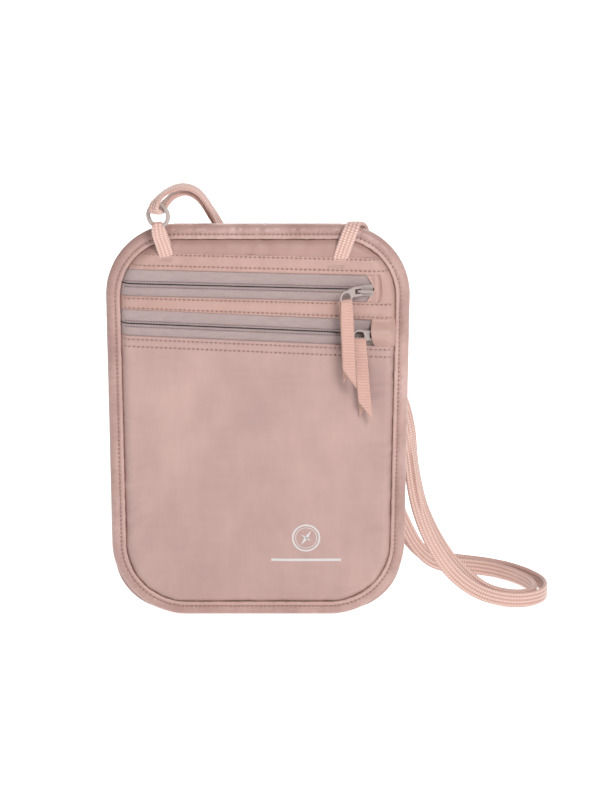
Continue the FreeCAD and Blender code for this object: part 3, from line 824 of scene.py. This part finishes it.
def band_level(lines, rows, seed):
    """Level of a folded band that stands half a millimetre proud between two lines, with its stitched rows
    (distance down from the top line)."""
    (top_z, top_tilt), (foot_z, foot_tilt) = lines

    def level(x, z):
        down = slope_z(top_z, top_tilt, x) - z
        up = z - slope_z(foot_z, foot_tilt, x)
        roll = -0.6 * (1 - smoothstep(0.0, 0.75, down)) - 0.6 * (1 - smoothstep(0.0, 0.75, up))
        dips = sum(seam_dip(down - row, x) for row in rows)
        puff = 0.12 * noise_at(x / 2.4, z / 3.0, seed) + 0.16 * noise_at(x / 11, 0.0, seed)
        inside = smoothstep(2.0, 9.0, edge_distance(x, z))
        return face_level(x, z) + edge_pucker(x, z, seed) * 0.8 + (0.45 + roll + dips + puff) * inside
    return level


def tape_level(line, tilt, side):
    """Level of the zip tape above (side 1) or below a zip's line, recessed, its edge there rolled in."""
    def level(x, z):
        off = (z - slope_z(line, tilt, x)) * side - ZIP_OPEN
        roll = -0.55 * (1 - smoothstep(0.0, 0.55, off))
        lump = 0.10 * noise_at(x / 8.0, 0.0, line)
        recess = 0.62 * smoothstep(4.0, 9.0, edge_distance(x, z))
        ridge = 0.10 * math.exp(-((off - 2.2) / 0.7) ** 2)
        return face_level(x, z) - recess + roll + lump + ridge
    return level


UPPER_LINES = (UPPER_BAND[0], UPPER_TILT), (UPPER_BAND[1], UPPER_TILT)
MIDDLE_LINES = (MIDDLE_BAND[0], UPPER_TILT), (MIDDLE_BAND[1], LOWER_TILT)
upper_band_level = band_level(UPPER_LINES, UPPER_ROWS, 5.0)
middle_band_level = band_level(MIDDLE_LINES, MIDDLE_ROWS, 6.0)


def make_panels(mats):
    """The panels and the bands, each in place of its CAD node."""
    silk_cloth, band_cloth = mats["silk_cloth"], mats["band_cloth"]
    top, foot = (HEIGHT - UNDER, 0.0), (UNDER, 0.0)
    add_cloth("back_cloth", (top, foot), back_level, (170, 200), 0.5, "silk_cloth", silk_cloth, "back_panel",
              side=1)
    add_cloth("front_cloth", ((HEM_TOP, LOWER_TILT), foot), front_level, (260, 210), 0.5,
              "silk_cloth", silk_cloth, "front_panel")
    add_cloth("yoke_cloth", (top, (UPPER_BAND[0] - 1.0, UPPER_TILT)), yoke_level, (240, 24), 0.5,
              "silk_cloth", mats["yoke_cloth"], "yoke_panel")
    add_cloth("upper_band_cloth", UPPER_LINES, upper_band_level, (300, 26), 0.55,
              "band_cloth", band_cloth, "upper_band")
    add_cloth("middle_band_cloth", MIDDLE_LINES, middle_band_level, (300, 26), 0.55,
              "band_cloth", band_cloth, "middle_band")


def make_tapes(material):
    """The two tapes of each zip, from the zip's line to under the cloth beside it."""
    for which, (line, tilt, above, below, end, _) in ZIPS.items():
        for place, side, hidden in (("top", 1, above + TAPE_TUCK), ("bottom", -1, below - TAPE_TUCK)):
            near = line + side * ZIP_OPEN
            lines = (max(hidden, near), tilt), (min(hidden, near), tilt)
            node = f"{which}_zip_tape_{place}"
            add_cloth(node + "_cloth", lines, tape_level(line, tilt, side), (200, 16), 0.4,
                      "zip_tape", material, node, right=end)


def make_seams(thread, tape_thread):
    """The topstitching across the front, and the dotted rows beside each zip."""
    upper_top, middle_top = UPPER_BAND[0], MIDDLE_BAND[0]
    rows = (
        ("upper_band_seam_top", upper_top - UPPER_ROWS[0], UPPER_TILT, upper_band_level),
        ("upper_band_seam_foot", upper_top - UPPER_ROWS[1], UPPER_TILT, upper_band_level),
        ("middle_band_seam_top", middle_top - MIDDLE_ROWS[0], UPPER_TILT, middle_band_level),
        ("middle_band_seam_foot", middle_top - MIDDLE_ROWS[1], MIDDLE_FOOT_ROW_TILT, middle_band_level),
        ("hem_seam_0", HEM_ROWS[0], LOWER_TILT, front_level),
        ("hem_seam_1", HEM_ROWS[1], LOWER_TILT, front_level),
    )
    for name, z0, tilt, level in rows:
        seam(name, level_line(z0, tilt, level, -SEAM_REACH, SEAM_REACH), thread)
    for which, (z0, tilt, *_, end) in ZIPS.items():
        for place, side in (("above", 1), ("below", -1)):
            line = level_line(z0 + side * 1.35, tilt, tape_level(z0, tilt, side), -61.0, end, lift=0.2)
            seam(f"{which}_zip_seam_{place}", line, tape_thread, pitch=1.3, length=0.75, radius=0.29)


# ==== binding
def outline_points(inset, step):
    """Evenly spaced points and outward directions round the outline, drawn in by inset, from the middle
    of the top, clockwise as seen from the front."""
    top_middle = Vector((0, 0, HEIGHT - inset)), Vector((0, 0, 1))
    dense = [top_middle]
    corners = ((1, HEIGHT - TOP_RADIUS, TOP_RADIUS, 90), (1, FOOT_RADIUS, FOOT_RADIUS, 0),
               (-1, FOOT_RADIUS, FOOT_RADIUS, -90), (-1, HEIGHT - TOP_RADIUS, TOP_RADIUS, -180))
    for sign, centre_z, radius, start in corners:
        r = radius - inset
        for k in range(91):
            turn = math.radians(start - k)
            z = centre_z + r * math.sin(turn)
            x = sign * (half_width(z) - radius) + r * math.cos(turn)
            dense.append((Vector((x, 0, z)), Vector((math.cos(turn), 0, math.sin(turn)))))
    dense.append(top_middle)
    total = sum((b[0] - a[0]).length for a, b in zip(dense, dense[1:]))
    count = int(total / step)
    spaced, gone, wanted = [], 0.0, 0.0
    for (p, n), (q, m) in zip(dense, dense[1:]):
        run = (q - p).length
        while wanted <= gone + run and len(spaced) < count:
            t = (wanted - gone) / run if run else 0.0
            spaced.append((p.lerp(q, t), n.lerp(m, t).normalized()))
            wanted += total / count
        gone += run
    return spaced


def binding_profile(along):
    """The binding's cross-section at a place round the outline: (in from the edge, out from the middle
    plane), from its inner lip on the front round the edge to its inner lip on the back."""
    pucker = 0.3 * noise_at(along / 2.1, 0.0, 8.8) + 0.42 * noise_at(along / 8.0, 3.0, 8.8)
    lip = 0.20 * noise_at(along / 2.6, 5.0, 2.2)
    tug = 0.5 + 0.5 * math.cos(2 * math.pi * along / PITCH)
    front = [
        (6.4 + lip, 1.8), (6.6 + lip, 3.0), (6.4 + lip, 3.75 + pucker * 0.6), (5.85, 4.0 + pucker * 0.8),
        (5.15, 3.6 + pucker * 0.4 - 0.15 * tug), (STITCH_IN, 3.0 - 0.3 * tug),
        (3.7, 3.25 + pucker * 0.3 - 0.15 * tug), (3.0, 3.4 + pucker * 1.3), (2.1, 3.2 + pucker * 1.5),
        (1.3, 2.6 + pucker), (0.6, 1.8 + pucker * 0.4), (0.12, 0.9),
    ]
    edge = 0.12 * abs(noise_at(along / 9.0, 1.0, 4.0))
    back = [(inward, -out) for inward, out in reversed(front)]
    return front + [(edge, 0.0)] + back


def make_binding(satin, thread):
    """The satin folded round the edge, and its stitches on the front and the back."""
    spaced = outline_points(0.0, 0.55)
    points, uvs = [], []
    along = 0.0
    for i, (place, way_out) in enumerate(spaced):
        if i:
            along += (place - spaced[i - 1][0]).length
        for inward, out in binding_profile(along):
            points.append(place - way_out * inward + Vector((0, -out, 0)))
            uvs.append((along * MM, inward * MM))
    count = len(points) // len(spaced)
    faces = grid_faces(len(spaced), count)
    last = (len(spaced) - 1) * count
    for c in range(count - 1):
        faces.append((last + c, last + c + 1, c + 1, c))
    binding = add_mesh("binding_cloth", points, faces)
    add_length_uvs(binding, uvs)
    finish_piece(binding, "pouch", "satin_binding", satin, "edge_binding")
    line = outline_points(STITCH_IN, 0.5)
    for name, side in (("binding_seam_front", -1), ("binding_seam_back", 1)):
        raised = [point + Vector((0, side * 3.15, 0)) for point, _ in line]
        seam(name, raised, thread, side=side, pitch=2.0, length=1.3, radius=0.3)


# ==== ribbons, tabs and small pieces
def leg_place(u, down, side, lean, seed):
    """A place on the front (side -1) or the rear (side 1) leg of a ribbon, at u across it and some way
    down, as (behind the bar, up, sideways, length along)."""
    fan = 0.9 * smoothstep(4, 38, down) * (1.5 if side < 0 else 0.15)
    ripple = 0.22 * noise_at(down / 9.0, u * 0.6, seed + side) * smoothstep(2, 8, down)
    pinch = 0.35 * math.exp(-down / 3.0)
    return side * (RIBBON_BEND - pinch + fan) + ripple, -down, lean * down, down


def ribbon_rows(front_cut, rear_cut, lean, seed):
    """Rows of places up the rear leg, over the bend and down the front leg."""
    across = [2 * k / (ACROSS_COUNT - 1) - 1 for k in range(ACROSS_COUNT)]
    legs = {}
    for side, (left, right) in ((1, rear_cut), (-1, front_cut)):
        legs[side] = []
        for k in range(LEG_COUNT + 1):
            share = k / LEG_COUNT
            cut = [left + (right - left) * (u + 1) / 2 for u in across]
            legs[side].append([leg_place(u, share * low, side, lean, seed) for u, low in zip(across, cut)])
    bend = []
    for k in range(1, BEND_COUNT):
        turn = math.pi * k / BEND_COUNT
        place = RIBBON_BEND * math.cos(turn), RIBBON_BEND * math.sin(turn), 0.0, turn * RIBBON_BEND
        bend.append([place] * ACROSS_COUNT)
    return legs[1][::-1] + bend + legs[-1]


def make_ribbon(which, material):
    """A ribbon folded over the puller's bar, its two legs cut on the slant in opposite ways. It turns from
    the bar's direction to face the front as it falls."""
    bar, yaw, front_cut, rear_cut, lean = RIBBONS[which]
    points, uvs = [], []
    for row in ribbon_rows(front_cut, rear_cut, lean, Vector(bar).x):
        for k, (behind, up, sideways, along) in enumerate(row):
            width = (2 * k / (ACROSS_COUNT - 1) - 1) * RIBBON_HALF
            face = math.radians(yaw) * math.exp(min(up, 0.0) / 11.0)
            x = width * math.cos(face) + sideways - behind * math.sin(face)
            y = width * math.sin(face) + behind * math.cos(face)
            points.append(Vector(bar) + Vector((x, y, up)))
            uvs.append((along * MM, width * MM))
    faces = grid_faces(len(points) // ACROSS_COUNT, ACROSS_COUNT)
    piece = add_mesh(f"{which}_pull_ribbon_cloth", points, faces)
    add_length_uvs(piece, uvs)
    thicken(piece, 0.5, 0)
    finish_piece(piece, f"{which}_pull_ribbon", "grosgrain", material, f"{which}_pull_ribbon")


UPPER_TAB_LINES = (UPPER_BAND[1] + 0.6, UPPER_TILT), (MIDDLE_BAND[0] - 0.6, UPPER_TILT)
LOWER_TAB_LINES = (MIDDLE_BAND[1] + 0.7, LOWER_TILT), (HEM_TOP - 0.4, LOWER_TILT)


def tab_share(x, z, lines):
    """From -1 at the foot of a tab to 1 at its top."""
    (top, tilt), (foot, _) = lines
    return 2 * (slope_z(z, -tilt, x) - foot) / (top - foot) - 1


def upper_tab_left(v):
    """The pointed left edge of the upper tab."""
    return 49.2 + 3.9 * (1 - abs(2 * v - 1))


def lower_tab_left(v):
    """The curved left edge of the lower tab."""
    return 51.6 + 1.0 * (2 * v - 1) ** 2 - 0.6 * (2 * v - 1)


def upper_tab_level(x, z):
    """Level of the folded upper tab, with a curved crease beside its flap."""
    share = tab_share(x, z, UPPER_TAB_LINES)
    crease = -0.9 * math.exp(-((x - 54.7 - 1.1 * (1 - share ** 2)) / 0.5) ** 2)
    flap = 0.75 * math.exp(-((x - 54.0) / 1.6) ** 2)
    outer = 0.35 * smoothstep(55.6, 57.2, x)
    edge = 0.35 * (1 - smoothstep(0.0, 1.4, x - upper_tab_left((share + 1) / 2)))
    folds = 0.22 * wave(x * 1.5, z * 0.3, 2.2, 9.0)
    return face_level(x, z) - 0.25 + crease + flap + outer + edge + folds


def lower_tab_level(x, z):
    """Level of the lower tab, arched over the slider's end."""
    share = tab_share(x, z, LOWER_TAB_LINES)
    tent = max(math.cos(math.pi / 2 * share), 0.0) ** 1.4
    arch = 4.3 * tent * (1 - smoothstep(60.4, 64.6, x))
    edge = -0.2 * (1 - smoothstep(0.0, 0.6, x - lower_tab_left((share + 1) / 2) + 0.05))
    base = face_level(min(x, LOWER_TAPE_END), z) * 0.3 + face_level(x, z) * 0.7
    return base + arch + edge + 0.2 * wave(x, z, 3.5, 12.0)


def make_end_tabs(band_cloth):
    """Folded silk over the right ends of the zips."""
    add_cloth("upper_end_tab_cloth", UPPER_TAB_LINES, upper_tab_level, (60, 40), 0.45,
              "silk_cloth", band_cloth, "upper_zip_end_tab", left=upper_tab_left, right=TAB_END)
    add_cloth("lower_end_tab_cloth", LOWER_TAB_LINES, lower_tab_level, (70, 46), 0.45,
              "silk_cloth", band_cloth, "lower_zip_end_tab", left=lower_tab_left, right=TAB_END)


def make_ring_tab(braid, thread):
    """The flat braid that holds the ring: up the yoke, through the ring, and down again in front."""
    face = face_level(-43.0, 176.0)
    foot, ring = RING_TAB_X, RING_X
    route = [
        (foot, 1.2 - face, 168.3), (foot, -face - 0.5, 170.8), (foot - 0.6, -face - 0.75, 172.0),
        (foot - 1.7, -face - 1.0, 177.5), (-44.4, -7.4, 182.2), (ring, -6.6, 185.4),
        (ring - 0.1, -7.1, 187.0), (ring, -8.9, 186.9), (ring, -9.4, 184.6), (-44.6, -9.0, 181.2),
        (foot - 1.9, -face - 2.6, 176.5), (foot - 0.4, -face - 1.9, 171.6), (foot, 0.6 - face, 168.3),
    ]
    points = spline_points(route, 8)
    sides, sections = [], []
    for i in range(len(points)):
        share = i / (len(points) - 1)
        neck = math.exp(-((share - 0.5) / 0.16) ** 2)
        sides.append(Vector((1, 0, 0.20 * (1 - neck))))
        sections.append(braid_section(6.8 - 2.6 * neck, 1.2 + 0.3 * neck))
    tab, _ = sweep_band("ring_tab_braid", points, sides, sections)
    finish_piece(tab, "pouch", "flat_braid", braid, "ring_tab")
    make_tack("ring_tab_tack", foot - 1.0, 169.0, 6.8, thread, "ring_tab_bartack")


def bevelled_copy(node, ending, width, segments, body, slot, material):
    """A softened copy of a CAD node, named after it with an ending."""
    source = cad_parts[node]
    piece = add_object(node + ending, source.data.copy())
    piece.matrix_world = source.matrix_world.copy()
    blend = piece.data.attributes.get("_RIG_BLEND")
    if blend:
        piece.data.attributes.remove(blend)
    weld = piece.modifiers.new("weld", "WELD")
    weld.merge_threshold = 0.01 * MM
    soften = piece.modifiers.new("soften", "BEVEL")
    soften.width = width * MM
    soften.segments = segments
    soften.angle_limit = math.radians(28)
    apply_modifiers(piece)
    normals = piece.modifiers.new("normals", "WEIGHTED_NORMAL")
    normals.keep_sharp = False
    apply_modifiers(piece)
    return finish_piece(piece, body, slot, material, node)


def make_metal(metal):
    """The sliders and the pullers."""
    for which in ("upper", "lower"):
        for part, width in (("slider", 0.3), ("puller", 0.28)):
            node = f"{which}_{part}"
            bevelled_copy(node, "_cast", width, 3, node, "enamelled_metal", metal)


def badge_grid(inner, outer):
    """Rows of (x, z) round a ring of the badge."""
    turns = [math.radians(4 * k) for k in range(91)]
    return [[(BADGE_X + r * math.sin(t), BADGE_Z + r * math.cos(t)) for t in turns] for r in (inner, outer)]


def needle_grid(turn, half, reach):
    """Rows of (x, z) along a pointed needle through the badge's middle."""
    along_x, along_z = math.sin(math.radians(turn)), math.cos(math.radians(turn))
    grid = []
    for side in (-1, 0, 1):
        row = []
        for k in range(15):
            share = 2 * k / 14 - 1
            wide = half * (1 - abs(share)) * side
            x = BADGE_X + along_x * share * reach + along_z * wide
            z = BADGE_Z + along_z * share * reach - along_x * wide
            row.append((x, z))
        grid.append(row)
    return grid


def make_print(film):
    """The mark on the front: a round badge with a compass needle, over a bar, following the cloth."""
    grids = [badge_grid(*ring) for ring in BADGE_RINGS]
    grids += [needle_grid(*needle) for needle in NEEDLES]
    grids.append([[(BAR_START + BAR_LENGTH * k / 60, z) for k in range(61)] for z in BAR_EDGES])
    points, faces = [], []
    for grid in grids:
        first = len(points)
        for row in grid:
            points += [(x, -(front_level(x, z) + PRINT_LIFT), z) for x, z in row]
        faces += [tuple(first + i for i in face) for face in grid_faces(len(grid), len(grid[0]))]
    finish_piece(add_mesh("print_film", points, faces), "pouch", "print_film", film, "print_mark")


# ==== the whole scene
def main():
    make_camera()
    mats = make_materials()
    cord, path, length = make_cord(mats["flat_braid"])
    make_stage()
    make_panels(mats)
    make_tapes(mats["zip_tape"])
    make_seams(mats["thread"], mats["tape_thread"])
    make_binding(mats["satin_binding"], mats["binding_thread"])
    make_end_tabs(mats["band_cloth"])
    make_ring_tab(mats["flat_braid"], mats["tack_thread"])
    make_tack("cord_tack", 35.9, 166.1, 7.4, mats["tack_thread"], "cord_bartack")
    make_print(mats["print_film"])
    for which in RIBBONS:
        make_ribbon(which, mats["grosgrain"])
    make_metal(mats["enamelled_metal"])
    bevelled_copy("strap_slide", "_moulded", 0.35, 2, "strap_slide", "grey_plastic", mats["grey_plastic"])
    tip = bevelled_copy("cord_tip", "_stitched", 0.6, 3, "pouch", "flat_braid", mats["flat_braid"])
    for node, material in PLAIN_PIECES.items():
        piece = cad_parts[node]
        piece.data.materials.clear()
        piece.data.materials.append(mats[material])


main()
